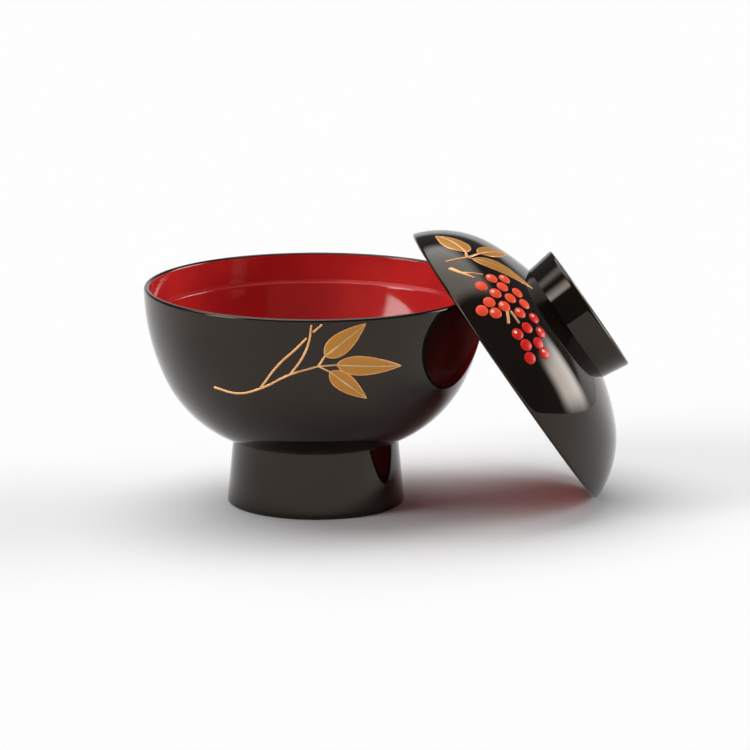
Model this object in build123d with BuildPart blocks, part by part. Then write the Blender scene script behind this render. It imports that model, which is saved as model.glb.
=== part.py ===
import os
from math import acos, asin, cos, degrees, hypot, radians, sin, sqrt, tan

from build123d import *

os.makedirs("parts", exist_ok=True)

# Bowl, in millimetres and degrees
rim_radius = 60
bowl_height = 77
upper_wall_radius = 76
upper_wall_sweep = 25
lower_wall_radius = 43
rim_wall = 2
bowl_wall = 3.7
rim_round = 0.8
rim_band = 0.5
shoulder_drop = 9.5
shoulder_slope = 0.8
floor_thickness = 6

# Foot of the bowl
neck_radius = 29
foot_radius = 31.2
foot_wall = 3.6
recess_taper = 2.2
foot_round = 0.8

# Lid and the grip ring on it
lid_play = 0.5
lid_edge_angle = 72
lid_edge_radius = 36
lid_top_radius = 90
lid_wall = 2.9
lid_round = 0.9
lid_band = 1.2
grip_base_radius = 22.9
grip_top_radius = 24.3
grip_height = 10.2
grip_wall = 3.2
grip_round = 0.9

# Lid taken off: it leans on the bowl's rim with its own edge on the table
lean_angle = 34.5
lean_clearance = 1.1
table_clearance = 0.2

# Lacquer coats and raised decoration
lacquer_coat = 0.5
gold_film = 0.2
line_width = 0.8
vein_width = 0.5
leaf_border = 0.4
leaf_base_share = 0.15
leaf_base_spread = 0.8
leaf_tip_share = 0.6
leaf_tip_spread = 0.5
berry_radius = 2.2
berry_height = 0.5
glint_radius = 0.6
glint_height = 0.2
glint_shift = 0.9

# Sprig on the bowl's front: across from the middle, and up from the rim's level
bowl_stems = [
    [(-38, -27), (-30, -28), (-23, -25.4), (-13, -19.5), (-3.5, -16.3)],
    [(-23, -25.4), (-17.4, -16.6), (-10.4, -9.3), (-7.6, -6.2)],
    [(-5.5, -4.2), (-2.4, -1.5)],
    [(-13, -19.5), (-9, -13.2), (-6.9, -7.7), (-6, -1.6)],
    [(-3.5, -16.3), (-1.4, -12.7)],
    [(-3.5, -16.3), (2.7, -15.9)],
    [(-3.5, -16.3), (0.4, -18.4)],
]
bowl_leaves = [
    ((-1.4, -12.7), (12.5, -1.7), 7.4),
    ((2.7, -15.9), (25.3, -18), 6.9),
    ((0.4, -18.4), (13.3, -29), 6.3),
]

# Sprig on the lid, in plan from its upper edge: down the slope, and across
lid_stems = [
    [(8.3, -25.1), (11.9, -22.1), (14.2, -17.6)],
    [(11.9, -22.1), (10.9, -18.5)],
    [(11.9, -22.1), (13.4, -22.5)],
    [(10.2, -28.5), (13.4, -30.8), (17, -32.6)],
    [(13.4, -30.8), (18.3, -30.3)],
    [(31.1, -41.8), (34.2, -45.4)],
    [(31.9, -41.2), (36.7, -43.6)],
]
lid_leaves = [
    ((10.9, -18.5), (3.4, -4.6), 5.5),
    ((14.2, -17.6), (23.4, -1.6), 6),
    ((13.4, -22.5), (34.5, -21.1), 6.5),
]

# Berries on the lid: turn from its upper side, and distance in from its edge
glint_berries = [
    (40.7, 9.6), (41.1, 13.8), (49, 7.9), (55.9, 7.9), (57.4, 4.9),
    (60.9, 11.2), (65.4, 15.1), (68.8, 6.5), (72.9, 13.8), (81.3, 10.1),
]
plain_berries = [
    (44.1, 5.7), (46.1, 11.2), (50, 15.4), (52.8, 11.3), (52.2, 5.1), (57, 15.1),
    (54.4, 2.8), (68.3, 10.2), (74.2, 6.7), (76.3, 10.4), (79.2, 5.6),
]

# Bowl wall: two arcs that run into each other, upright at the rim
upper_centre = Vector(rim_radius - upper_wall_radius, bowl_height)
sweep_direction = Vector(cos(radians(upper_wall_sweep)), -sin(radians(upper_wall_sweep)))
lower_centre = upper_centre + sweep_direction * (upper_wall_radius - lower_wall_radius)
neck_angle = degrees(acos((neck_radius - lower_centre.X) / lower_wall_radius))
neck_height = lower_centre.Y - lower_wall_radius * sin(radians(neck_angle))
floor_curve = lower_wall_radius - bowl_wall
floor_height = lower_centre.Y - floor_curve
recess_height = floor_height - floor_thickness
recess_radius = foot_radius - foot_wall

# Shoulder inside the rim, which the lid sits on
seat_curve = upper_wall_radius - rim_wall
seat_angle = degrees(asin(shoulder_drop / seat_curve))
seat_radius = upper_centre.X + seat_curve * cos(radians(seat_angle))
ledge_curve = upper_wall_radius - bowl_wall
ledge_angle = degrees(asin((shoulder_drop + shoulder_slope) / ledge_curve))

# Lid dome: a tight arc at the edge that runs into a flat one over the top
lid_radius = seat_radius - lid_play
edge_start = 90 - lid_edge_angle
edge_direction = Vector(cos(radians(edge_start)), sin(radians(edge_start)))
edge_centre = Vector(lid_radius, 0) - edge_direction * lid_edge_radius
joint_angle = degrees(acos(edge_centre.X / (lid_top_radius - lid_edge_radius)))
joint_direction = Vector(cos(radians(joint_angle)), sin(radians(joint_angle)))
joint_radius = lid_top_radius * joint_direction.X
top_centre = edge_centre - joint_direction * (lid_top_radius - lid_edge_radius)
dome_height = top_centre.Y + lid_top_radius
mouth_curve = lid_edge_radius - lid_wall
mouth_start = degrees(asin(-edge_centre.Y / mouth_curve))
mouth_radius = edge_centre.X + mouth_curve * cos(radians(mouth_start))
grip_foot = top_centre.Y + sqrt(lid_top_radius**2 - grip_base_radius**2)
grip_top = grip_foot + grip_height

# Leaning lid: its rounded edge stands on the table, its mouth meets the bowl's rim on two sides
lean = radians(lean_angle)
edge_reach = edge_centre.X + sqrt((lid_edge_radius - lid_round) ** 2 - (lid_round - edge_centre.Y) ** 2)
lid_height = table_clearance + lid_round + edge_reach * cos(lean) - lid_round * sin(lean)
lean_rise = bowl_height - rim_round - lid_height
half_span = sqrt(mouth_radius**2 - (lean_rise / cos(lean)) ** 2)
lid_distance = sqrt(rim_radius**2 - half_span**2) + lean_rise * tan(lean) + lean_clearance
lid_plane = Plane(
    origin=(lid_distance, 0, lid_height),
    x_dir=(sin(lean), 0, -cos(lean)),
    z_dir=(cos(lean), 0, sin(lean)),
)
lid_axis = Axis(lid_plane.origin, lid_plane.z_dir)
lid_side_plane = Plane(lid_plane.origin, x_dir=lid_plane.x_dir, z_dir=-lid_plane.y_dir)

# Planes that the two sprigs are drawn on
bowl_sprig_plane = Plane((0, 0, bowl_height), x_dir=(1, 0, 0), z_dir=(0, -1, 0))
lid_upper_edge = lid_plane.from_local_coords((-lid_radius, 0, 0))
lid_sprig_plane = Plane(lid_upper_edge, x_dir=lid_plane.x_dir, z_dir=lid_plane.z_dir)


# Half section grown or shrunk all round, but not at the axis
def resized(section, amount):
    with BuildSketch() as whole:
        add(section)
        mirror(about=Plane.YZ)
        offset(amount=amount, kind=Kind.INTERSECTION)
        split(bisect_by=Plane.YZ)
    return whole.sketch


# Arc whose curve ends where it ends, for surfaces that must not cross the axis
def bow(centre, radius, start, end):
    half = (end - start) / 2
    weight = cos(radians(half))
    points = []
    for angle, reach in ((start, radius), (start + half, radius / weight), (end, radius)):
        points.append(centre + Vector(cos(radians(angle)), sin(radians(angle))) * reach)
    return Bezier(*points, weights=[1, weight, 1])


# Bowl wall filled to the axis, with a film of some thickness over it
def wall_section(film):
    with BuildSketch() as wall:
        with BuildLine():
            belly = bow(lower_centre, lower_wall_radius + film, -neck_angle, -upper_wall_sweep)
            upper = bow(upper_centre, upper_wall_radius + film, -upper_wall_sweep, 0)
            Polyline(upper @ 1, (0, bowl_height), (0, (belly @ 0).Y), belly @ 0)
        make_face()
    return wall.sketch


# Lid dome filled to the axis, with a film of some thickness over it
def dome_section(film):
    with BuildSketch() as dome:
        with BuildLine():
            edge = bow(edge_centre, lid_edge_radius + film, edge_start, joint_angle)
            top = bow(top_centre, lid_top_radius + film, joint_angle, 90)
            Polyline(top @ 1, (0, (edge @ 0).Y), edge @ 0)
        make_face()
    return dome.sketch


# Stroke of even width through some points
def stroke(points, width):
    with BuildSketch() as line:
        with BuildLine():
            Spline(*points)
        trace(line_width=width)
    return line.sketch


# Long pointed leaf, fullest near its base
def leaf_shape(base, tip, width):
    along = tip - base
    across = along.normalized().rotate(Axis.Z, 90) * width
    with BuildSketch() as leaf:
        with BuildLine():
            for side in (across, -across):
                full = base + along * leaf_base_share + side * leaf_base_spread
                narrow = base + along * leaf_tip_share + side * leaf_tip_spread
                Bezier(base, full, narrow, tip)
        make_face()
    return leaf.sketch


# Field of a leaf inside its border, in two halves beside the vein
def leaf_field(base, tip, width):
    step = (tip - base).normalized() * leaf_border
    field_base = base + step + step
    field_tip = tip - step - step - step - step
    with BuildSketch() as field:
        add(leaf_shape(field_base, field_tip, width - 2 * leaf_border))
        add(stroke([base, tip], vein_width), mode=Mode.SUBTRACT)
    return field.sketch


# Fields of all the leaves of a sprig
def sprig_fields(leaves):
    with BuildSketch() as fields:
        for base, tip, width in leaves:
            add(leaf_field(Vector(base), Vector(tip), width))
    return fields.sketch


# Stems of a sprig, and the borders and veins of its leaves
def sprig_lines(stems, leaves):
    with BuildSketch() as lines:
        for stem in stems:
            add(stroke(stem, line_width))
        for base, tip, width in leaves:
            add(leaf_shape(Vector(base), Vector(tip), width))
        add(sprig_fields(leaves), mode=Mode.SUBTRACT)
    return lines.sketch


# Place on the lid in plan, from its middle
def berry_place(turn, inset):
    radius = lid_radius - inset
    return Vector(-radius * cos(radians(turn)), -radius * sin(radians(turn)))


# Point below the dome's surface, on the lid as it leans
def under_dome(place, depth):
    radius = hypot(place.X, place.Y)
    centre = edge_centre if radius > joint_radius else top_centre
    curve = lid_edge_radius if radius > joint_radius else lid_top_radius
    across = radius - centre.X
    outward = Vector(across, sqrt(curve**2 - across**2)) * ((curve - depth) / curve)
    point = centre + outward
    flat = place * (point.X / radius)
    return lid_plane.from_local_coords((flat.X, flat.Y, point.Y))


# Sections of the bowl
with BuildSketch() as bowl_outside:
    with BuildLine():
        belly_line = CenterArc(lower_centre, lower_wall_radius, -neck_angle, neck_angle - upper_wall_sweep)
        wall_line = CenterArc(upper_centre, upper_wall_radius, -upper_wall_sweep, upper_wall_sweep)
        Polyline(wall_line @ 1, (0, bowl_height), (0, 0), (foot_radius, 0), belly_line @ 0)
    make_face()

with BuildSketch() as bowl_hollow:
    with BuildLine():
        floor_line = CenterArc(lower_centre, floor_curve, -90, 90 - upper_wall_sweep)
        ledge_line = CenterArc(upper_centre, ledge_curve, -upper_wall_sweep, upper_wall_sweep - ledge_angle)
        seat_line = CenterArc(upper_centre, seat_curve, -seat_angle, seat_angle)
        Line(ledge_line @ 1, seat_line @ 0)
        Polyline(seat_line @ 1, (0, bowl_height), (0, floor_height), floor_line @ 0)
    make_face()

with BuildSketch() as foot_recess:
    with BuildLine():
        recess_corner = (recess_radius - recess_taper, recess_height)
        Polyline((0, 0), (recess_radius, 0), recess_corner, (0, recess_height), close=True)
    make_face()

with BuildSketch() as bowl_section:
    add(bowl_outside.sketch)
    add(bowl_hollow.sketch, mode=Mode.SUBTRACT)
    add(foot_recess.sketch, mode=Mode.SUBTRACT)
    fillet(bowl_section.vertices().group_by(Axis.Y)[-1], radius=rim_round)
    fillet(bowl_section.vertices().group_by(Axis.Y)[0], radius=foot_round)

with BuildSketch() as bowl_core_section:
    add(resized(bowl_outside.sketch, -lacquer_coat))
    add(resized(bowl_hollow.sketch, lacquer_coat), mode=Mode.SUBTRACT)
    add(resized(foot_recess.sketch, lacquer_coat), mode=Mode.SUBTRACT)
    fillet(bowl_core_section.vertices().group_by(Axis.Y)[-1], radius=rim_round - lacquer_coat)
    fillet(bowl_core_section.vertices().group_by(Axis.Y)[0], radius=foot_round - lacquer_coat)

with BuildSketch() as bowl_lining_space:
    add(bowl_hollow.sketch)
    with Locations((0, bowl_height)):
        Rectangle(2 * rim_radius, 2 * (rim_band + lacquer_coat), mode=Mode.SUBTRACT)

with BuildSketch() as foot_zone:
    Rectangle(2 * rim_radius, 2 * neck_height)

bowl_lining_zone = resized(bowl_lining_space.sketch, lacquer_coat)

# Sections of the lid, drawn upright with its mouth at zero height
with BuildSketch() as lid_outside:
    with BuildLine():
        edge_line = CenterArc(edge_centre, lid_edge_radius, edge_start, joint_angle - edge_start)
        top_line = CenterArc(top_centre, lid_top_radius, joint_angle, 90 - joint_angle)
        Polyline(top_line @ 1, (0, 0), edge_line @ 0)
    make_face()

with BuildSketch() as lid_hollow:
    with BuildLine():
        mouth_line = CenterArc(edge_centre, mouth_curve, mouth_start, joint_angle - mouth_start)
        ceiling_line = CenterArc(top_centre, lid_top_radius - lid_wall, joint_angle, 90 - joint_angle)
        Polyline(ceiling_line @ 1, (0, 0), mouth_line @ 0)
    make_face()

with BuildSketch() as grip_ring:
    with BuildLine():
        grip_root = grip_foot - lid_wall / 2
        outer_corners = [(grip_base_radius, grip_foot), (grip_top_radius, grip_top)]
        inner_corners = [(grip_top_radius - grip_wall, grip_top), (grip_base_radius - grip_wall, grip_foot)]
        root_corners = [(grip_base_radius - grip_wall, grip_root), (grip_base_radius, grip_root)]
        Polyline(*outer_corners, *inner_corners, *root_corners, close=True)
    make_face()

with BuildSketch() as lid_section:
    add(lid_outside.sketch)
    add(grip_ring.sketch)
    add(lid_hollow.sketch, mode=Mode.SUBTRACT)
    fillet(lid_section.vertices().group_by(Axis.Y)[0], radius=lid_round)
    fillet(lid_section.vertices().group_by(Axis.Y)[-1], radius=grip_round)

with BuildSketch() as lid_core_section:
    add(resized(lid_outside.sketch, -lacquer_coat))
    add(resized(grip_ring.sketch, -lacquer_coat))
    add(resized(lid_hollow.sketch, lacquer_coat), mode=Mode.SUBTRACT)
    fillet(lid_core_section.vertices().group_by(Axis.Y)[0], radius=lid_round - lacquer_coat)
    fillet(lid_core_section.vertices().group_by(Axis.Y)[-1], radius=grip_round - lacquer_coat)

with BuildSketch() as lid_lining_space:
    add(lid_hollow.sketch)
    Rectangle(2 * lid_radius, 2 * (lid_band + lacquer_coat), mode=Mode.SUBTRACT)

lid_lining_zone = resized(lid_lining_space.sketch, lacquer_coat)

# Turned blank of the bowl, with its foot
with BuildPart() as bowl_core:
    with BuildSketch(Plane.XZ):
        add(bowl_core_section.sketch)
    revolve(axis=Axis.Z)

# Black coat of the belly, over the rim
with BuildPart() as bowl_black_lacquer:
    with BuildSketch(Plane.XZ):
        add(bowl_section.sketch)
        add(bowl_core_section.sketch, mode=Mode.SUBTRACT)
        add(bowl_lining_zone, mode=Mode.SUBTRACT)
        add(foot_zone.sketch, mode=Mode.SUBTRACT)
    revolve(axis=Axis.Z)

# Black coat of the foot, below the crease at the neck
with BuildPart() as foot_black_lacquer:
    with BuildSketch(Plane.XZ):
        add(bowl_section.sketch)
        add(bowl_core_section.sketch, mode=Mode.SUBTRACT)
        add(bowl_lining_zone, mode=Mode.SUBTRACT)
        add(foot_zone.sketch, mode=Mode.INTERSECT)
    revolve(axis=Axis.Z)

# Red coat inside the bowl
with BuildPart() as bowl_red_lacquer:
    with BuildSketch(Plane.XZ):
        add(bowl_section.sketch)
        add(bowl_core_section.sketch, mode=Mode.SUBTRACT)
        add(bowl_lining_zone, mode=Mode.INTERSECT)
    revolve(axis=Axis.Z)

# Gold lines of the bowl's sprig
with BuildPart() as bowl_gold_lines:
    with BuildSketch(bowl_sprig_plane):
        add(sprig_lines(bowl_stems, bowl_leaves))
    extrude(amount=rim_radius + gold_film)
    with BuildSketch(Plane.XZ):
        add(wall_section(gold_film))
    revolve(axis=Axis.Z, mode=Mode.INTERSECT)
    with BuildSketch(Plane.XZ):
        add(wall_section(0))
    revolve(axis=Axis.Z, mode=Mode.SUBTRACT)

# Duller gold fields of its leaves
with BuildPart() as bowl_gold_leaves:
    with BuildSketch(bowl_sprig_plane):
        add(sprig_fields(bowl_leaves))
    extrude(amount=rim_radius + gold_film)
    with BuildSketch(Plane.XZ):
        add(wall_section(gold_film))
    revolve(axis=Axis.Z, mode=Mode.INTERSECT)
    with BuildSketch(Plane.XZ):
        add(wall_section(0))
    revolve(axis=Axis.Z, mode=Mode.SUBTRACT)

# Turned blank of the lid, with its grip ring
with BuildPart() as lid_core:
    with BuildSketch(lid_side_plane):
        add(lid_core_section.sketch)
    revolve(axis=lid_axis)

# Black coat of the dome, the grip ring and the edge
with BuildPart() as lid_black_lacquer:
    with BuildSketch(lid_side_plane):
        add(lid_section.sketch)
        add(lid_core_section.sketch, mode=Mode.SUBTRACT)
        add(lid_lining_zone, mode=Mode.SUBTRACT)
    revolve(axis=lid_axis)

# Red coat inside the lid
with BuildPart() as lid_red_lacquer:
    with BuildSketch(lid_side_plane):
        add(lid_section.sketch)
        add(lid_core_section.sketch, mode=Mode.SUBTRACT)
        add(lid_lining_zone, mode=Mode.INTERSECT)
    revolve(axis=lid_axis)

# Berries are low caps of one sphere size, sunk in the dome
berry_curve = (berry_radius**2 + berry_height**2) / (2 * berry_height)
glint_places = [berry_place(*berry) for berry in glint_berries]
plain_places = [berry_place(*berry) for berry in plain_berries]
berry_centres = [under_dome(place, berry_curve - berry_height) for place in glint_places + plain_places]

with BuildPart() as lid_berries:
    with Locations(*berry_centres):
        Sphere(berry_curve)
    with BuildSketch(lid_side_plane):
        add(dome_section(0))
    revolve(axis=lid_axis, mode=Mode.SUBTRACT)

# Pale dots on some of the berries, up the slope from their middles
glint_level = berry_height - glint_shift**2 / (2 * berry_curve) + glint_height
glint_offset = Vector(-glint_shift, 0)
glint_centres = [under_dome(place + glint_offset, glint_radius - glint_level) for place in glint_places]

with BuildPart() as lid_berry_glints:
    with Locations(*glint_centres):
        Sphere(glint_radius)
    with Locations(*berry_centres):
        Sphere(berry_curve, mode=Mode.SUBTRACT)

# Gold lines of the lid's sprig, stopped at the berries
with BuildPart() as lid_gold_lines:
    with BuildSketch(lid_sprig_plane):
        add(sprig_lines(lid_stems, lid_leaves))
    extrude(amount=dome_height + gold_film)
    with BuildSketch(lid_side_plane):
        add(dome_section(gold_film))
    revolve(axis=lid_axis, mode=Mode.INTERSECT)
    with BuildSketch(lid_side_plane):
        add(dome_section(0))
    revolve(axis=lid_axis, mode=Mode.SUBTRACT)
    with Locations(*berry_centres):
        Sphere(berry_curve, mode=Mode.SUBTRACT)

# Duller gold fields of its leaves
with BuildPart() as lid_gold_leaves:
    with BuildSketch(lid_sprig_plane):
        add(sprig_fields(lid_leaves))
    extrude(amount=dome_height + gold_film)
    with BuildSketch(lid_side_plane):
        add(dome_section(gold_film))
    revolve(axis=lid_axis, mode=Mode.INTERSECT)
    with BuildSketch(lid_side_plane):
        add(dome_section(0))
    revolve(axis=lid_axis, mode=Mode.SUBTRACT)
    with Locations(*berry_centres):
        Sphere(berry_curve, mode=Mode.SUBTRACT)

nodes = {
    "bowl_core": bowl_core,
    "bowl_black_lacquer": bowl_black_lacquer,
    "foot_black_lacquer": foot_black_lacquer,
    "bowl_red_lacquer": bowl_red_lacquer,
    "bowl_gold_lines": bowl_gold_lines,
    "bowl_gold_leaves": bowl_gold_leaves,
    "lid_core": lid_core,
    "lid_black_lacquer": lid_black_lacquer,
    "lid_red_lacquer": lid_red_lacquer,
    "lid_gold_lines": lid_gold_lines,
    "lid_gold_leaves": lid_gold_leaves,
    "lid_berries": lid_berries,
    "lid_berry_glints": lid_berry_glints,
}
for name, node in nodes.items():
    node.part.label = name
    export_step(node.part, f"parts/{name}.step")
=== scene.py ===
from math import acos, asin, cos, degrees, hypot, pi, radians, sin, sqrt, tan

import bmesh
import bpy
from mathutils import Matrix, Vector


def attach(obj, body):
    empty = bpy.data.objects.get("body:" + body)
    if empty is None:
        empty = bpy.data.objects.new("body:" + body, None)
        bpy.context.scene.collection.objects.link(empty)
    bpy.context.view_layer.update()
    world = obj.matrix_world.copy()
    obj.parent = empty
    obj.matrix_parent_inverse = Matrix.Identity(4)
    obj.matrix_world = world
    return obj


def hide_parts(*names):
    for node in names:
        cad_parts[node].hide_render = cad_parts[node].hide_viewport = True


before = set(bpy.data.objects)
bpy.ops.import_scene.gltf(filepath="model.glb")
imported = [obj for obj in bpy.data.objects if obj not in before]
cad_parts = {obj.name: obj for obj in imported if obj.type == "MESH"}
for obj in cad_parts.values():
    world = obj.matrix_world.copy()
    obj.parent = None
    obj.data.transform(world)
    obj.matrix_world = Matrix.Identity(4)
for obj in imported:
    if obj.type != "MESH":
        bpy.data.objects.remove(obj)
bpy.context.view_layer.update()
scene = bpy.context.scene
scene.view_settings.view_transform = "Standard"
print("stage: frame loaded")

millimetre = 0.001
mergeGap = 1e-7
coatSharp = 35  # degrees past which an edge is shaded sharp
reliefSharp = 60

bowl = {  # metres and degrees, the same sizes as the part's source has in millimetres
    "rimRadius": 0.060,
    "height": 0.077,
    "upperCurve": 0.076,
    "upperSweep": 25,
    "lowerCurve": 0.043,
    "rimWall": 0.002,
    "wall": 0.0037,
    "rimRound": 0.0008,
    "rimBand": 0.0005,
    "shoulderDrop": 0.0095,
    "shoulderSlope": 0.0008,
    "shoulderRound": 0.0006,  # only here, to soften the shoulder's inner edge
    "floorThickness": 0.006,
    "neckRadius": 0.029,
    "footRadius": 0.0312,
    "footWall": 0.0036,
    "recessTaper": 0.0022,
    "footRound": 0.0008,
    "coat": 0.0005,
    "turns": 256,
}

bowlRows = {  # mesh rows along each stretch of the bowl's outlines
    "belly": 40,
    "wall": 24,
    "rim": 8,
    "foot": 12,
    "footRound": 6,
    "recess": 8,
    "floor": 6,
    "insideBelly": 48,
    "insideWall": 20,
    "shoulder": 5,
    "seat": 10,
    "seatTop": 4,
}

lid = {
    "play": 0.0005,
    "edgeAngle": 72,
    "edgeCurve": 0.036,
    "topCurve": 0.090,
    "wall": 0.0029,
    "round": 0.0009,
    "band": 0.0012,
    "gripBase": 0.0229,
    "gripTop": 0.0243,
    "gripHeight": 0.0102,
    "gripWall": 0.0032,
    "gripRound": 0.0009,
    "lean": 34.5,
    "leanClearance": 0.0011,
    "tableClearance": 0.0002,
    "coat": 0.0005,
    "edgeStep": 3,  # degrees of dome kept in one row, so that its edge has room to be rounded
    "turns": 256,
}

lidRows = {  # mesh rows along each stretch of the lid's outlines
    "edge": 38,
    "dome": 16,
    "grip": 8,
    "gripFloor": 16,
    "round": 6,
    "insideEdge": 40,
    "insideDome": 30,
}


def wayAt(angle):
    return Vector((cos(radians(angle)), sin(radians(angle))))


# the two arcs of the bowl's wall, and what follows from them
upperCentre = Vector((bowl["rimRadius"] - bowl["upperCurve"], bowl["height"]))
lowerCentre = upperCentre + wayAt(-bowl["upperSweep"]) * (bowl["upperCurve"] - bowl["lowerCurve"])
joinHeight = upperCentre.y - bowl["upperCurve"] * sin(radians(bowl["upperSweep"]))
neckAngle = degrees(acos((bowl["neckRadius"] - lowerCentre.x) / bowl["lowerCurve"]))
neckHeight = lowerCentre.y - bowl["lowerCurve"] * sin(radians(neckAngle))
floorHeight = lowerCentre.y - bowl["lowerCurve"] + bowl["wall"]
recessHeight = floorHeight - bowl["floorThickness"]
recessRadius = bowl["footRadius"] - bowl["footWall"]
seatCurve = bowl["upperCurve"] - bowl["rimWall"]
seatAngle = degrees(asin(bowl["shoulderDrop"] / seatCurve))
seatAt = upperCentre + wayAt(-seatAngle) * seatCurve
ledgeCurve = bowl["upperCurve"] - bowl["wall"]
ledgeAngle = degrees(asin((bowl["shoulderDrop"] + bowl["shoulderSlope"]) / ledgeCurve))
rimReach = seatCurve + bowl["rimRound"]
rimAcross = sqrt(rimReach**2 - bowl["rimRound"] ** 2)
rimCentre = Vector((upperCentre.x + rimAcross, bowl["height"] - bowl["rimRound"]))
rimTurn = degrees(asin(1 - bowl["rimBand"] / bowl["rimRound"]))
seatTop = degrees(asin(bowl["rimRound"] / rimReach))

# the two arcs of the lid's dome, with the grip ring on the upper one
lidRadius = upperCentre.x + seatCurve * cos(radians(seatAngle)) - lid["play"]
edgeStart = 90 - lid["edgeAngle"]
edgeCentre = Vector((lidRadius, 0)) - wayAt(edgeStart) * lid["edgeCurve"]
jointAngle = degrees(acos(edgeCentre.x / (lid["topCurve"] - lid["edgeCurve"])))
topCentre = edgeCentre - wayAt(jointAngle) * (lid["topCurve"] - lid["edgeCurve"])
jointRadius = topCentre.x + lid["topCurve"] * wayAt(jointAngle).x
mouthCurve = lid["edgeCurve"] - lid["wall"]
mouthStart = degrees(asin(-edgeCentre.y / mouthCurve))
mouthRadius = edgeCentre.x + mouthCurve * cos(radians(mouthStart))
bandStart = degrees(asin((lid["band"] - edgeCentre.y) / mouthCurve))
bandRadius = edgeCentre.x + mouthCurve * cos(radians(bandStart))
gripAngle = degrees(acos(lid["gripBase"] / lid["topCurve"]))
gripFoot = topCentre.y + sqrt(lid["topCurve"] ** 2 - lid["gripBase"] ** 2)
gripTop = gripFoot + lid["gripHeight"]
gripInside = lid["gripBase"] - lid["gripWall"]
gripFloorAngle = degrees(acos(gripInside / lid["topCurve"]))
gripFloor = topCentre.y + lid["topCurve"] * sin(radians(gripFloorAngle))

# the lid leans at the rim, a small gap from it and from the table
lean = radians(lid["lean"])
edgeReach = edgeCentre.x + sqrt((lid["edgeCurve"] - lid["round"]) ** 2 - (lid["round"] - edgeCentre.y) ** 2)
lidHeight = lid["tableClearance"] + lid["round"] + edgeReach * cos(lean) - lid["round"] * sin(lean)
leanRise = bowl["height"] - bowl["rimRound"] - lidHeight
halfSpan = sqrt(mouthRadius**2 - (leanRise / cos(lean)) ** 2)
lidDistance = sqrt(bowl["rimRadius"] ** 2 - halfSpan**2) + leanRise * tan(lean) + lid["leanClearance"]
lidPlace = Matrix.Translation((lidDistance, 0, lidHeight)) @ Matrix.Rotation(pi / 2 - lean, 4, "Y")


# outline tools: a wire in the XZ plane that grows vertex by vertex, then is turned
def startLine(mesh, x, z):
    return mesh.verts.new((x, 0, z))


def lineTo(mesh, vert, x, z, steps=1):
    start = vert.co.copy()
    for step in range(1, steps + 1):
        vert = bmesh.ops.extrude_vert_indiv(mesh, verts=[vert])["verts"][0]
        vert.co = start.lerp(Vector((x, 0, z)), step / steps)
    return vert


def arcTo(mesh, vert, centre, angle, steps):
    made = bmesh.ops.spin(
        mesh, geom=[vert], cent=(centre.x, 0, centre.y), axis=(0, -1, 0), angle=radians(angle), steps=steps
    )
    return made["geom_last"][0]


def roundCorner(mesh, corner, radius, segments):
    first, second = [edge.other_vert(corner).co - corner.co for edge in corner.link_edges]
    reach = radius / tan(first.angle(second) / 2)
    bmesh.ops.bevel(
        mesh, geom=[corner], offset=reach, offset_type="OFFSET", segments=segments,
        profile=0.5, affect="VERTICES", material=-1,
    )


def turnOutline(name, mesh, sizes, outward, place):
    bmesh.ops.spin(
        mesh, geom=mesh.verts[:] + mesh.edges[:], cent=(0, 0, 0), axis=(0, 0, 1),
        angle=2 * pi, steps=sizes["turns"], use_merge=True,
    )
    bmesh.ops.remove_doubles(mesh, verts=mesh.verts[:], dist=mergeGap)
    bmesh.ops.recalc_face_normals(mesh, faces=mesh.faces[:])
    widest = max(mesh.faces, key=lambda face: face.calc_center_median().xy.length)
    looksOut = widest.normal.xy.dot(widest.calc_center_median().xy) > 0
    if looksOut != outward:
        bmesh.ops.reverse_faces(mesh, faces=mesh.faces[:])
    bmesh.ops.solidify(mesh, geom=mesh.faces[:], thickness=sizes["coat"])
    bmesh.ops.transform(mesh, matrix=place, verts=mesh.verts[:])
    return finishMesh(name, mesh, coatSharp)


def finishMesh(name, mesh, sharpAngle):
    for face in mesh.faces:
        face.smooth = True
    for edge in mesh.edges:
        if edge.calc_face_angle(0) > radians(sharpAngle):
            edge.smooth = False
    data = bpy.data.meshes.new(name)
    mesh.to_mesh(data)
    mesh.free()
    piece = bpy.data.objects.new(name, data)
    scene.collection.objects.link(piece)
    return piece


# the coats, each an outline on the surface that shows
def makeBowlBlackCoat():
    mesh = bmesh.new()
    vert = startLine(mesh, bowl["neckRadius"], neckHeight)
    vert = arcTo(mesh, vert, lowerCentre, neckAngle - bowl["upperSweep"], bowlRows["belly"])
    outerRim = arcTo(mesh, vert, upperCentre, bowl["upperSweep"], bowlRows["wall"])
    innerRim = lineTo(mesh, outerRim, rimCentre.x, bowl["height"])
    arcTo(mesh, innerRim, rimCentre, 90 - rimTurn, bowlRows["rim"])
    roundCorner(mesh, outerRim, bowl["rimRound"], bowlRows["rim"])
    return turnOutline("bowlBlackCoat", mesh, bowl, True, Matrix())


def makeFootBlackCoat():
    mesh = bmesh.new()
    vert = startLine(mesh, bowl["neckRadius"], neckHeight)
    outerEdge = lineTo(mesh, vert, bowl["footRadius"], 0, bowlRows["foot"])
    innerEdge = lineTo(mesh, outerEdge, recessRadius, 0)
    corner = lineTo(mesh, innerEdge, recessRadius - bowl["recessTaper"], recessHeight, bowlRows["recess"])
    lineTo(mesh, corner, 0, recessHeight, bowlRows["recess"])
    for edge in (outerEdge, innerEdge):
        roundCorner(mesh, edge, bowl["footRound"], bowlRows["footRound"])
    return turnOutline("footBlackCoat", mesh, bowl, True, Matrix())


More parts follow.
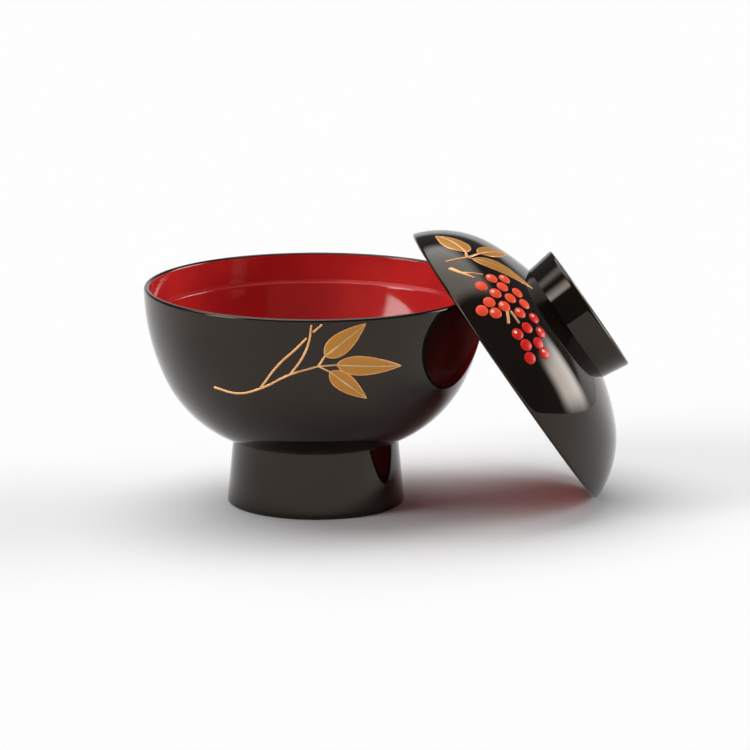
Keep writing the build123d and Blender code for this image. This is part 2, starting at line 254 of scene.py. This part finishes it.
def makeBowlRedCoat():
    mesh = bmesh.new()
    vert = startLine(mesh, 0, floorHeight)
    vert = lineTo(mesh, vert, lowerCentre.x, floorHeight, bowlRows["floor"])
    vert = arcTo(mesh, vert, lowerCentre, 90 - bowl["upperSweep"], bowlRows["insideBelly"])
    ledge = arcTo(mesh, vert, upperCentre, bowl["upperSweep"] - ledgeAngle, bowlRows["insideWall"])
    seat = lineTo(mesh, ledge, seatAt.x, seatAt.y)
    vert = arcTo(mesh, seat, upperCentre, seatAngle - seatTop, bowlRows["seat"])
    arcTo(mesh, vert, rimCentre, seatTop - rimTurn, bowlRows["seatTop"])
    roundCorner(mesh, ledge, bowl["shoulderRound"], bowlRows["shoulder"])
    return turnOutline("bowlRedCoat", mesh, bowl, False, Matrix())


def makeLidBlackCoat():
    mesh = bmesh.new()
    vert = startLine(mesh, bandRadius, lid["band"])
    innerEdge = lineTo(mesh, vert, mouthRadius, 0)
    outerEdge = lineTo(mesh, innerEdge, lidRadius, 0)
    vert = arcTo(mesh, outerEdge, edgeCentre, lid["edgeStep"], 1)
    vert = arcTo(mesh, vert, edgeCentre, jointAngle - edgeStart - lid["edgeStep"], lidRows["edge"])
    vert = arcTo(mesh, vert, topCentre, gripAngle - jointAngle, lidRows["dome"])
    outerTop = lineTo(mesh, vert, lid["gripTop"], gripTop, lidRows["grip"])
    innerTop = lineTo(mesh, outerTop, lid["gripTop"] - lid["gripWall"], gripTop)
    innerFoot = lineTo(mesh, innerTop, gripInside, gripFloor, lidRows["grip"])
    arcTo(mesh, innerFoot, topCentre, 90 - gripFloorAngle, lidRows["gripFloor"])
    for edge in (innerEdge, outerEdge):
        roundCorner(mesh, edge, lid["round"], lidRows["round"])
    for edge in (outerTop, innerTop):
        roundCorner(mesh, edge, lid["gripRound"], lidRows["round"])
    return turnOutline("lidBlackCoat", mesh, lid, True, lidPlace)


def makeLidRedCoat():
    mesh = bmesh.new()
    vert = startLine(mesh, bandRadius, lid["band"])
    vert = arcTo(mesh, vert, edgeCentre, jointAngle - bandStart, lidRows["insideEdge"])
    arcTo(mesh, vert, topCentre, 90 - jointAngle, lidRows["insideDome"])
    return turnOutline("lidRedCoat", mesh, lid, False, lidPlace)


bowlBlackCoat = makeBowlBlackCoat()
footBlackCoat = makeFootBlackCoat()
bowlRedCoat = makeBowlRedCoat()
lidBlackCoat = makeLidBlackCoat()
lidRedCoat = makeLidRedCoat()
print("stage: coats turned")


# places on the two curved grounds, lifted off them by some height
def liftOff(x, y, z, centre, curve, lift):
    radius = hypot(x, y)
    outward = Vector((x / radius, y / radius, 0)) * ((radius - centre.x) / curve)
    outward.z = (z - centre.y) / curve
    return Vector((x, y, z)) + outward * lift


def onBowl(x, up, lift):
    z = bowl["height"] + up
    centre, curve = (upperCentre, bowl["upperCurve"]) if z > joinHeight else (lowerCentre, bowl["lowerCurve"])
    radius = centre.x + sqrt(curve**2 - (z - centre.y) ** 2)
    return liftOff(x, -sqrt(radius**2 - x**2), z, centre, curve, lift)


def onDome(x, y, lift):
    radius = hypot(x, y)
    centre, curve = (edgeCentre, lid["edgeCurve"]) if radius > jointRadius else (topCentre, lid["topCurve"])
    z = centre.y + sqrt(curve**2 - (radius - centre.x) ** 2)
    return lidPlace @ liftOff(x, y, z, centre, curve, lift)


def onLid(down, across, lift):
    return onDome(down - lidRadius, across, lift)


bowlSprig = {  # millimetres across from the middle and up from the rim
    "ground": onBowl,
    "outward": Vector((0, -1, 0)),
    "stems": [
        [(-38, -27), (-30, -28), (-23, -25.4), (-13, -19.5), (-3.5, -16.3)],
        [(-23, -25.4), (-17.4, -16.6), (-10.4, -9.3), (-7.6, -6.2)],
        [(-5.5, -4.2), (-2.4, -1.5)],
        [(-13, -19.5), (-9, -13.2), (-6.9, -7.7), (-6, -1.6)],
        [(-3.5, -16.3), (-1.4, -12.7)],
        [(-3.5, -16.3), (2.7, -15.9)],
        [(-3.5, -16.3), (0.4, -18.4)],
    ],
    "leaves": [  # base, tip and width
        ((-1.4, -12.7), (12.5, -1.7), 7.4),
        ((2.7, -15.9), (25.3, -18), 6.9),
        ((0.4, -18.4), (13.3, -29), 6.3),
    ],
}

lidSprig = {  # millimetres from the lid's upper edge, along its mouth and across
    "ground": onLid,
    "outward": lidPlace.to_3x3() @ Vector((0, 0, 1)),
    "stems": [
        [(8.3, -25.1), (11.9, -22.1), (14.2, -17.6)],
        [(11.9, -22.1), (10.9, -18.5)],
        [(11.9, -22.1), (13.4, -22.5)],
        [(10.2, -28.5), (13.4, -30.8), (17, -32.6)],
        [(13.4, -30.8), (18.3, -30.3)],
        [(31.1, -41.8), (34.2, -45.4)],
        [(31.9, -41.2), (36.7, -43.6)],
    ],
    "leaves": [
        ((10.9, -18.5), (3.4, -4.6), 5.5),
        ((14.2, -17.6), (23.4, -1.6), 6),
        ((13.4, -22.5), (34.5, -21.1), 6.5),
    ],
}

goldWork = {  # widths in millimetres, heights in metres, tips and spreads as shares
    "film": 0.0002,
    "sunk": 0.00005,
    "stemWidth": 0.8,
    "stemTip": 0.8,
    "borderWidth": 0.42,
    "borderTip": 1,
    "veinWidth": 0.8,
    "veinTip": 0.6,
    "fullHeightAt": 0.3,  # millimetres up the round line, above which its bead is flat
    "baseShare": 0.15,
    "baseSpread": 0.8,
    "tipShare": 0.6,
    "tipSpread": 0.5,
    "leafLevel": 0.52,
    "leafCrown": 0.24,
    "leafSteps": 28,
    "leafRows": 8,
    "lineSteps": 14,
    "lineRings": 3,
}


def leafHandles(leaf, side):
    base, tip, width = Vector(leaf[0]), Vector(leaf[1]), leaf[2]
    along = tip - base
    across = Vector((-along.y, along.x)).normalized() * width * side
    full = base + along * goldWork["baseShare"] + across * goldWork["baseSpread"]
    narrow = base + along * goldWork["tipShare"] + across * goldWork["tipSpread"]
    return base, full, narrow, tip


def addLine(curve, points, kind, handles=None):
    spline = curve.splines.new("BEZIER")
    spline.bezier_points.add(len(points) - 1)
    spline.resolution_u = goldWork["lineSteps"]
    for knot, point in zip(spline.bezier_points, points):
        knot.co = (point[0], point[1], 0)
        knot.handle_left_type = knot.handle_right_type = "FREE" if handles else "AUTO"
        knot.radius = goldWork[kind + "Width"]
    spline.bezier_points[-1].radius *= goldWork[kind + "Tip"]
    if handles:
        first, last = spline.bezier_points
        first.handle_left = first.co
        first.handle_right = (*handles[0], 0)
        last.handle_left = (*handles[1], 0)
        last.handle_right = last.co


def makeGoldLines(name, sprig):
    curve = bpy.data.curves.new(name + "Path", "CURVE")
    curve.dimensions = "3D"
    curve.bevel_depth = 0.5  # so that a knot's radius is the line's whole width
    curve.bevel_resolution = goldWork["lineRings"]
    curve.use_fill_caps = True
    for stem in sprig["stems"]:
        addLine(curve, stem, "stem")
    for leaf in sprig["leaves"]:
        for side in (1, -1):
            base, full, narrow, tip = leafHandles(leaf, side)
            addLine(curve, [base, tip], "border", [full, narrow])
        addLine(curve, leaf[:2], "vein")
    holder = bpy.data.objects.new(name + "Path", curve)
    data = bpy.data.meshes.new_from_object(holder)
    bpy.data.objects.remove(holder)
    bpy.data.curves.remove(curve)
    for vert in data.vertices:  # the round line is pressed onto the curved ground as a low bead
        share = max(-1, min(1, vert.co.z / goldWork["fullHeightAt"]))
        lift = share * (goldWork["film"] if share > 0 else goldWork["sunk"])
        vert.co = sprig["ground"](vert.co.x * millimetre, vert.co.y * millimetre, lift)
    mesh = bmesh.new()
    mesh.from_mesh(data)
    bpy.data.meshes.remove(data)
    bmesh.ops.remove_doubles(mesh, verts=mesh.verts[:], dist=mergeGap)
    bmesh.ops.recalc_face_normals(mesh, faces=mesh.faces[:])
    return finishMesh(name, mesh, reliefSharp)


def makeGoldLeaves(name, sprig):
    mesh = bmesh.new()
    leafMap = mesh.loops.layers.uv.new("leafMap")
    for leaf in sprig["leaves"]:
        grid = bmesh.ops.create_grid(
            mesh, x_segments=goldWork["leafSteps"], y_segments=goldWork["leafRows"], size=1
        )
        spots = {vert: ((vert.co.x + 1) / 2, vert.co.y) for vert in grid["verts"]}
        base, full, narrow, tip = leafHandles(leaf, 1)
        along = tip - base
        for vert, (share, side) in spots.items():
            rest = 1 - share
            edge = base * rest**3 + full * 3 * share * rest**2 + narrow * 3 * share**2 * rest + tip * share**3
            spine = base + along * ((edge - base).dot(along) / along.length_squared)
            spot = spine + (edge - spine) * side
            crown = goldWork["leafCrown"] * share * rest * (1 - side * side)
            lift = goldWork["film"] * (goldWork["leafLevel"] + crown)
            vert.co = sprig["ground"](spot.x * millimetre, spot.y * millimetre, lift)
        for face in {face for vert in spots for face in vert.link_faces}:
            for loop in face.loops:
                share, side = spots[loop.vert]
                loop[leafMap].uv = (share, 0.5 + 0.5 * side)
    bmesh.ops.remove_doubles(mesh, verts=mesh.verts[:], dist=mergeGap)
    bmesh.ops.recalc_face_normals(mesh, faces=mesh.faces[:])
    inward = [face for face in mesh.faces if face.normal.dot(sprig["outward"]) < 0]
    bmesh.ops.reverse_faces(mesh, faces=inward)
    bmesh.ops.solidify(mesh, geom=mesh.faces[:], thickness=goldWork["film"] / 2)
    return finishMesh(name, mesh, reliefSharp)


bowlGoldLines = makeGoldLines("bowlGoldLines", bowlSprig)
bowlGoldLeaves = makeGoldLeaves("bowlGoldLeaves", bowlSprig)
lidGoldLines = makeGoldLines("lidGoldLines", lidSprig)
lidGoldLeaves = makeGoldLeaves("lidGoldLeaves", lidSprig)
print("stage: gold laid")

berry = {  # turn from the lid's upper side in degrees, and millimetres in from its edge
    "withGlint": [
        (40.7, 9.6), (41.1, 13.8), (49, 7.9), (55.9, 7.9), (57.4, 4.9),
        (60.9, 11.2), (65.4, 15.1), (68.8, 6.5), (72.9, 13.8), (81.3, 10.1),
    ],
    "plain": [
        (44.1, 5.7), (46.1, 11.2), (50, 15.4), (52.8, 11.3), (52.2, 5.1), (57, 15.1),
        (54.4, 2.8), (68.3, 10.2), (74.2, 6.7), (76.3, 10.4), (79.2, 5.6),
    ],
    "radius": 0.0022,
    "height": 0.0005,
    "glintRadius": 0.0006,
    "glintHeight": 0.0002,
    "glintShift": 0.0009,
    "glintSunk": 0.4,
    # the upper berries are painted lighter and more orange, a painted reflection of the light above; from
    # this turn that painted reflection fades out over the following degrees
    "sheenFadeFrom": 58,
    "sheenFadeOver": 8,
    "segments": 32,
    "rings": 16,
}


def berrySpot(turn, inset):
    return wayAt(turn) * (inset * millimetre - lidRadius)


def addDrop(mesh, spot, radius, height, lift):
    outward = onDome(spot.x, spot.y, 1) - onDome(spot.x, spot.y, 0)
    turned = outward.to_track_quat("Z", "Y").to_matrix().to_4x4()
    size = Matrix.Diagonal((radius, radius, height, 1))
    place = Matrix.Translation(onDome(spot.x, spot.y, lift)) @ turned @ size
    return bmesh.ops.create_uvsphere(
        mesh, u_segments=berry["segments"], v_segments=berry["rings"], radius=1, matrix=place
    )["verts"]


def makeBerries():
    mesh = bmesh.new()
    sheenFadeLayer = mesh.verts.layers.float.new("paintedSheenFade")
    for turn, inset in berry["withGlint"] + berry["plain"]:
        # 0 where a berry gets the whole painted reflection, 1 where it has none
        paintedSheenFade = max(0, min(1, (turn - berry["sheenFadeFrom"]) / berry["sheenFadeOver"]))
        for vert in addDrop(mesh, berrySpot(turn, inset), berry["radius"], berry["height"], 0):
            vert[sheenFadeLayer] = paintedSheenFade
    return finishMesh("lidBerryDrops", mesh, reliefSharp)


def makeGlints():
    mesh = bmesh.new()
    level = berry["height"] * sqrt(1 - (berry["glintShift"] / berry["radius"]) ** 2)
    level -= berry["glintHeight"] * berry["glintSunk"]
    for turn, inset in berry["withGlint"]:
        spot = berrySpot(turn, inset) - Vector((berry["glintShift"], 0))
        addDrop(mesh, spot, berry["glintRadius"], berry["glintHeight"], level)
    return finishMesh("lidBerryDots", mesh, reliefSharp)


lidBerryDrops = makeBerries()
lidBerryDots = makeGlints()
print("stage: berries set")


# node tools
def feed(tree, node, inputs):
    for key, value in inputs.items():
        if isinstance(value, bpy.types.NodeSocket):
            tree.links.new(value, node.inputs[key])
        else:
            node.inputs[key].default_value = value


def addNode(tree, kind, inputs, **settings):
    node = tree.nodes.new(kind)
    for key, value in settings.items():
        setattr(node, key, value)
    feed(tree, node, inputs)
    return node


def startFinish(name):
    finish = bpy.data.materials.new(name)
    finish.use_nodes = True
    tree = finish.node_tree
    return finish, tree, tree.nodes["Principled BSDF"]


def placeOf(tree):
    return addNode(tree, "ShaderNodeTexCoord", {}).outputs["Object"]


def noiseAt(tree, place, size, detail):
    node = addNode(tree, "ShaderNodeTexNoise", {"Vector": place, "Scale": 1 / size, "Detail": detail})
    return node.outputs["Fac"]


def rangeOf(tree, value, source, target, **settings):
    node = addNode(tree, "ShaderNodeMapRange", {
        "Value": value,
        "From Min": source[0],
        "From Max": source[1],
        "To Min": target[0],
        "To Max": target[1],
    }, **settings)
    return node.outputs["Result"]


def mathOf(tree, operation, *values, **settings):
    node = addNode(tree, "ShaderNodeMath", dict(enumerate(values)), operation=operation, **settings)
    return node.outputs[0]


def dotOf(tree, first, second):
    node = addNode(tree, "ShaderNodeVectorMath", {0: first, 1: second}, operation="DOT_PRODUCT")
    return node.outputs["Value"]


def blendOf(tree, share, first, second):  # 0, 6 and 7 are a colour mix's factor and its two colours
    node = addNode(tree, "ShaderNodeMix", {0: share, 6: (*first, 1), 7: (*second, 1)}, data_type="RGBA")
    return node.outputs[2]


def bumpOf(tree, height, distance):
    node = addNode(tree, "ShaderNodeBump", {"Height": height, "Distance": distance, "Strength": 1.0})
    return node.outputs["Normal"]


def cloudOf(tree, place, look):
    cloud = noiseAt(tree, place, look["cloudSize"], look["cloudDetail"])
    return blendOf(tree, rangeOf(tree, cloud, look["cloudSpan"], (0, 1)), look["dark"], look["pale"])


noiseSpan = (0.3, 0.7)  # most of a noise lies between these

blackLacquer = {
    "dark": (0.0045, 0.0030, 0.0024),
    "pale": (0.0090, 0.0058, 0.0044),
    "cloudSize": 0.03,
    "cloudDetail": 3,
    "cloudSpan": (0.35, 0.65),
    "hazeSize": 0.004,
    "hazeDetail": 4,
    "gloss": (0.025, 0.055),
    "rippleSize": 0.014,
    "rippleDetail": 1,
    "rippleDepth": 0.000012,
    "ior": 1.46,
    "sheen": (1.0, 0.85, 0.72),
}

redLacquer = {
    "dark": (0.54, 0.022, 0.026),
    "pale": (0.64, 0.032, 0.028),
    "cloudSize": 0.02,
    "cloudDetail": 3,
    "cloudSpan": (0.35, 0.65),
    "hazeSize": 0.003,
    "hazeDetail": 4,
    "gloss": (0.04, 0.10),
    "rippleSize": 0.006,
    "rippleDetail": 2,
    "rippleDepth": 0.00001,
    "ior": 1.5,
    "sheen": (1.0, 1.0, 1.0),
}

goldLine = {
    "dark": (0.70, 0.34, 0.13),
    "pale": (0.92, 0.52, 0.24),
    "cloudSize": 0.004,
    "cloudDetail": 2,
    "cloudSpan": (0.3, 0.7),
    "grainSize": 0.00025,
    "grainDetail": 2,
    "grainDepth": 0.00003,
    "gloss": (0.32, 0.5),
    "metal": 0.7,
}

goldField = {
    "middle": (0.46, 0.225, 0.040),
    "edge": (0.60, 0.225, 0.011),
    "fade": (0.2, 0.6),
    "speck": 0.25,
    "grainSize": 0.00022,
    "grainDetail": 2,
    "grainDepth": 0.00003,
    "gloss": (0.38, 0.55),
    "metal": 0.35,
}

berryRed = {
    # upper is the berry red with a painted reflection of the light above in it; lower is the plain berry red
    "upper": (0.92, 0.085, 0.034),
    "lower": (0.72, 0.014, 0.010),
    "cloudSize": 0.0025,
    "cloudDetail": 2,
    "uneven": (-0.2, 0.2),
    "gloss": (0.25, 0.35),
    "shine": 0.25,
}

berryDot = {
    "dark": (0.85, 0.55, 0.42),
    "pale": (0.95, 0.80, 0.68),
    "cloudSize": 0.0012,
    "cloudDetail": 2,
    "cloudSpan": (0.75, 0.35),
    "gloss": 0.3,
}

turnedWood = {
    "pale": (0.48, 0.32, 0.19),
    "dark": (0.33, 0.20, 0.11),
    "ringScale": 20,
    "distortion": 4,
    "ringDetail": 2,
    "gloss": (0.55, 0.7),
}


def makeLacquer(name, look):
    finish, tree, shader = startFinish(name)
    place = placeOf(tree)
    haze = noiseAt(tree, place, look["hazeSize"], look["hazeDetail"])
    ripple = noiseAt(tree, place, look["rippleSize"], look["rippleDetail"])
    feed(tree, shader, {
        "Base Color": cloudOf(tree, place, look),
        "Roughness": rangeOf(tree, haze, noiseSpan, look["gloss"]),
        "Normal": bumpOf(tree, ripple, look["rippleDepth"]),
        "IOR": look["ior"],
        "Specular Tint": (*look["sheen"], 1),
    })
    return finish


def addGoldGrain(tree, shader, grain, look):
    feed(tree, shader, {
        "Roughness": rangeOf(tree, grain, noiseSpan, look["gloss"]),
        "Normal": bumpOf(tree, grain, look["grainDepth"]),
        "Metallic": look["metal"],
    })


def makeGoldLineFinish():
    finish, tree, shader = startFinish("goldLineFinish")
    place = placeOf(tree)
    feed(tree, shader, {"Base Color": cloudOf(tree, place, goldLine)})
    grain = noiseAt(tree, place, goldLine["grainSize"], goldLine["grainDetail"])
    addGoldGrain(tree, shader, grain, goldLine)
    return finish


def makeGoldFieldFinish():  # duller along the vein, more orange towards the leaf's edges
    finish, tree, shader = startFinish("goldFieldFinish")
    leafMap = addNode(tree, "ShaderNodeUVMap", {}, uv_map="leafMap").outputs["UV"]
    across = addNode(tree, "ShaderNodeSeparateXYZ", {"Vector": leafMap}).outputs["Y"]
    fromVein = mathOf(tree, "ABSOLUTE", mathOf(tree, "SUBTRACT", across, 0.5))
    grain = noiseAt(tree, placeOf(tree), goldField["grainSize"], goldField["grainDetail"])
    mixed = mathOf(tree, "ADD", fromVein, mathOf(tree, "MULTIPLY", grain, goldField["speck"]))
    share = rangeOf(tree, mixed, goldField["fade"], (0, 1))
    feed(tree, shader, {"Base Color": blendOf(tree, share, goldField["middle"], goldField["edge"])})
    addGoldGrain(tree, shader, grain, goldField)
    return finish


def makeBerryFinish():
    finish, tree, shader = startFinish("berryFinish")
    paintedSheenFade = addNode(tree, "ShaderNodeAttribute", {}, attribute_name="paintedSheenFade").outputs["Fac"]
    cloud = noiseAt(tree, placeOf(tree), berryRed["cloudSize"], berryRed["cloudDetail"])
    uneven = rangeOf(tree, cloud, noiseSpan, berryRed["uneven"])
    # blends the upper berries' red with its painted reflection into the plain red, with some random
    # unevenness
    share = mathOf(tree, "ADD", paintedSheenFade, uneven, use_clamp=True)
    feed(tree, shader, {
        "Base Color": blendOf(tree, share, berryRed["upper"], berryRed["lower"]),
        "Roughness": rangeOf(tree, cloud, noiseSpan, berryRed["gloss"]),
        "Specular IOR Level": berryRed["shine"],
    })
    return finish


def makeDotFinish():
    finish, tree, shader = startFinish("berryDotFinish")
    colour = cloudOf(tree, placeOf(tree), berryDot)
    feed(tree, shader, {"Base Color": colour, "Roughness": berryDot["gloss"]})
    return finish


def makeWoodFinish():
    finish, tree, shader = startFinish("turnedWoodFinish")
    rings = addNode(tree, "ShaderNodeTexWave", {
        "Vector": placeOf(tree),
        "Scale": turnedWood["ringScale"],
        "Distortion": turnedWood["distortion"],
        "Detail": turnedWood["ringDetail"],
    }, wave_type="RINGS", rings_direction="X").outputs["Fac"]
    feed(tree, shader, {
        "Base Color": blendOf(tree, rings, turnedWood["pale"], turnedWood["dark"]),
        "Roughness": rangeOf(tree, rings, (0, 1), turnedWood["gloss"]),
    })
    return finish


blackLacquerFinish = makeLacquer("blackLacquer", blackLacquer)
redLacquerFinish = makeLacquer("redLacquer", redLacquer)
goldLineFinish = makeGoldLineFinish()
goldFieldFinish = makeGoldFieldFinish()
berryFinish = makeBerryFinish()
berryDotFinish = makeDotFinish()
woodFinish = makeWoodFinish()

dressing = [  # piece, finish, body, node that it stands for, slot
    (bowlBlackCoat, blackLacquerFinish, "bowl", "bowl_black_lacquer", "black_lacquer"),
    (footBlackCoat, blackLacquerFinish, "bowl", "foot_black_lacquer", "black_lacquer"),
    (bowlRedCoat, redLacquerFinish, "bowl", "bowl_red_lacquer", "red_lacquer"),
    (bowlGoldLines, goldLineFinish, "bowl", "bowl_gold_lines", "gold_lines"),
    (bowlGoldLeaves, goldFieldFinish, "bowl", "bowl_gold_leaves", "gold_fields"),
    (lidBlackCoat, blackLacquerFinish, "lid", "lid_black_lacquer", "black_lacquer"),
    (lidRedCoat, redLacquerFinish, "lid", "lid_red_lacquer", "red_lacquer"),
    (lidGoldLines, goldLineFinish, "lid", "lid_gold_lines", "gold_lines"),
    (lidGoldLeaves, goldFieldFinish, "lid", "lid_gold_leaves", "gold_fields"),
    (lidBerryDrops, berryFinish, "lid", "lid_berries", "berry_red"),
    (lidBerryDots, berryDotFinish, "lid", "lid_berry_glints", "berry_glint"),
]
for piece, finish, body, node, slotName in dressing:
    piece.data.materials.append(finish)
    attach(piece, body)
    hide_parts(node)
for node in ("bowl_core", "lid_core"):
    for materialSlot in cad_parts[node].material_slots:
        materialSlot.material = woodFinish
print("stage: finishes on")

studio = {
    "aim": (0.02077, -0.00185, 0.0448),
    "cameraAt": (-0.1415, -1.8197, 0.4471),
    "lens": 255.57,
    "sensor": 36,
    "clipEnd": 50,
    "floor": (0.90, 0.90, 0.90),
    "floorSize": 6,
    "floorRoughness": 0.9,
    "dim": 0.11,
    "panels": [  # azimuth from the camera's side, height, half width, half height, softness, strength
        (-66, 18, 11, 22, 3, 6.0),
        (104, 15, 15, 12, 7, 9.0),
        (-140, 70, 32, 25, 6, 2.58),
        (180, 6, 60, 8, 4, 0.7),
    ],
    "facing": -5.1,
    "leastAhead": 0.001,  # keeps a panel from showing behind as well
}


def addPanel(tree, way, panel):
    azimuth, height, halfWidth, halfHeight, soft, strength = panel
    side, up = radians(azimuth + studio["facing"]), radians(height)
    front = Vector((sin(side) * cos(up), -cos(side) * cos(up), sin(up)))
    right = Vector((cos(side), sin(side), 0))
    above = right.cross(front)
    ahead = mathOf(tree, "MAXIMUM", dotOf(tree, way, front), studio["leastAhead"])
    light = strength
    for axis, half in ((right, halfWidth), (above, halfHeight)):
        reach = mathOf(tree, "ABSOLUTE", mathOf(tree, "DIVIDE", dotOf(tree, way, axis), ahead))
        border = (tan(radians(half - soft)), tan(radians(half + soft)))
        inside = rangeOf(tree, reach, border, (1, 0), interpolation_type="SMOOTHSTEP")
        light = mathOf(tree, "MULTIPLY", inside, light)
    return light


def placeCamera():
    camera = bpy.data.objects.new("camera", bpy.data.cameras.new("camera"))
    scene.collection.objects.link(camera)
    camera.location = studio["cameraAt"]
    camera.rotation_euler = (Vector(studio["aim"]) - camera.location).to_track_quat("-Z", "Y").to_euler()
    camera.data.lens = studio["lens"]
    camera.data.sensor_width = studio["sensor"]
    camera.data.clip_end = studio["clipEnd"]
    scene.camera = camera


def layFloor():
    mesh = bmesh.new()
    bmesh.ops.create_grid(mesh, x_segments=1, y_segments=1, size=studio["floorSize"])
    floor = finishMesh("floor", mesh, reliefSharp)
    finish, tree, shader = startFinish("floorFinish")
    feed(tree, shader, {
        "Base Color": (*studio["floor"], 1),
        "Roughness": studio["floorRoughness"],
        "Specular IOR Level": 0.0,
    })
    floor.data.materials.append(finish)


def lightWorld():
    scene.world = bpy.data.worlds.new("studio")
    scene.world.use_nodes = True
    tree = scene.world.node_tree
    way = addNode(tree, "ShaderNodeTexCoord", {}).outputs["Generated"]
    total = studio["dim"]
    for panel in studio["panels"]:
        total = mathOf(tree, "ADD", addPanel(tree, way, panel), total)
    feed(tree, tree.nodes["Background"], {"Color": (1, 1, 1, 1), "Strength": total})


placeCamera()
layFloor()
lightWorld()
print("stage: studio ready")
